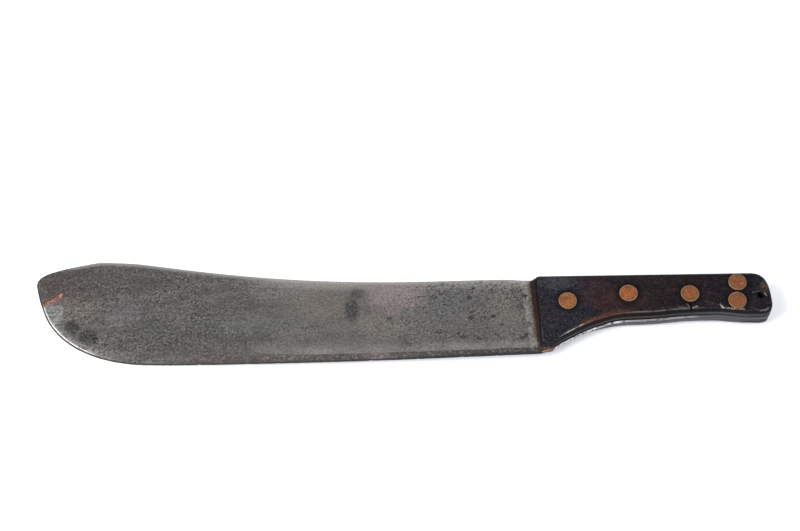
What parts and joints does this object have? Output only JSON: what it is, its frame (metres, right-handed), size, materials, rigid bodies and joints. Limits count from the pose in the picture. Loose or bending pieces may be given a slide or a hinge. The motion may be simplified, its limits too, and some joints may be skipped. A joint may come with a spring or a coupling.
{
  "type": "machete",
  "caption": "Old farm machete: broad bellied steel blade with a full tang, two dark grip scales held by copper rivets over burrs, and a lanyard hole.",
  "frame": {"origin": "middle of the lanyard hole, half way through the tang", "axes": "-X towards the blade's tip, -Y towards the cutting edge, +Z out of the shown face, along the lanyard hole"},
  "size_m": [0.5066, 0.079, 0.0231],
  "materials": {
    "blade_steel": "old forged patina, pitted and spotted with rust",
    "scale_wood": "near-black oiled and handled wood, worn to brown along its edges",
    "rivet_copper": "dull copper filed flush, darkened, with a paler rim",
    "burr_copper": "dull copper washers, darkened"
  },
  "bodies": {
    "root": {"blade": "blade_steel", "grip_scale_left": "scale_wood", "grip_scale_right": "scale_wood", "rivet_front": "rivet_copper", "rivet_middle_front": "rivet_copper", "rivet_middle_rear": "rivet_copper", "rivet_rear_upper": "rivet_copper", "rivet_rear_lower": "rivet_copper", "burr_front": "burr_copper", "burr_middle_front": "burr_copper", "burr_middle_rear": "burr_copper", "burr_rear_upper": "burr_copper", "burr_rear_lower": "burr_copper"}
  },
  "joints": []
}
